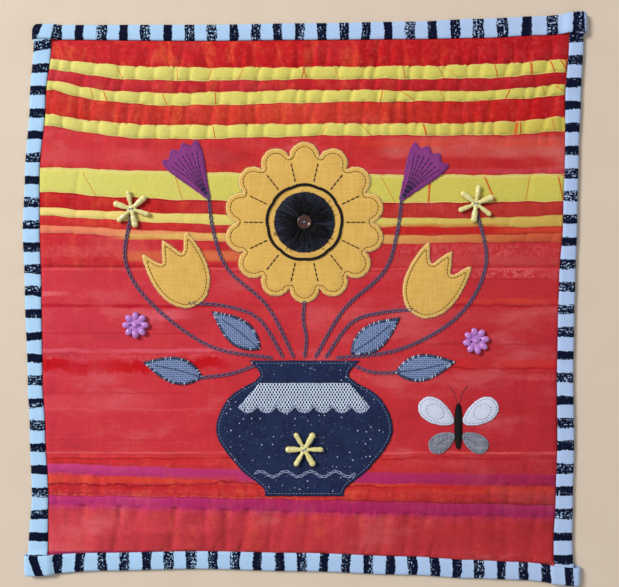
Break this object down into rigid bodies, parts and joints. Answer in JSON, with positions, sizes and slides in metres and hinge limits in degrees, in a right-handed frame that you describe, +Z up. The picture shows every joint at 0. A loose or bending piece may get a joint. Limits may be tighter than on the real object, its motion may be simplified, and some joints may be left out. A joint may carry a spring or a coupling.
{
  "type": "wall quilt",
  "caption": "Small square quilted wall hanging lying flat, with a striped top, a folded striped binding and an applique vase of flowers with buttons.",
  "frame": {"origin": "middle of the outline's bounding box, on the surface that the quilt lies on", "axes": "+Z up, out of the quilt's face; +Y toward the top edge of the design; +X to the right of someone who looks at the face"},
  "size_m": [0.4293, 0.4364, 0.0094],
  "materials": {
    "striped_cotton": "hand-dyed cotton in red, yellow and magenta stripes, quilted",
    "binding_cotton": "pale blue-white cotton with near-black brushed stripes",
    "golden_linen": "golden linen weave",
    "navy_cotton": "navy cotton with pale specks",
    "black_cloth": "black woven cloth",
    "white_lace": "white lace",
    "purple_cotton": "purple cotton with a fan of dark stitches",
    "grey_blue_weave": "coarse grey-blue weave, overcast at the edge",
    "pale_grey_cloth": "pale grey cloth",
    "brushed_grey_cloth": "brushed grey cloth",
    "yellow_plastic": "pale yellow, glossy",
    "lilac_plastic": "lilac, glossy",
    "brown_plastic": "dark brown, glossy"
  },
  "bodies": {
    "root": {"quilt_body": "striped_cotton", "binding_left": "binding_cotton", "binding_right": "binding_cotton", "binding_top": "binding_cotton", "binding_bottom": "binding_cotton", "vase": "navy_cotton", "lace_collar": "white_lace", "sunflower_petals": "golden_linen", "sunflower_centre": "black_cloth", "tulip_left": "golden_linen", "tulip_right": "golden_linen", "bud_left": "purple_cotton", "bud_right": "purple_cotton", "leaf_1": "grey_blue_weave", "leaf_2": "grey_blue_weave", "leaf_3": "grey_blue_weave", "leaf_4": "grey_blue_weave", "wing_upper_left": "pale_grey_cloth", "wing_upper_right": "pale_grey_cloth", "wing_lower_left": "brushed_grey_cloth", "wing_lower_right": "brushed_grey_cloth", "butterfly_body": "black_cloth", "star_button_1": "yellow_plastic", "star_button_2": "yellow_plastic", "star_button_3": "yellow_plastic", "bead_button_1": "lilac_plastic", "bead_button_2": "lilac_plastic", "round_button": "brown_plastic"}
  },
  "joints": []
}
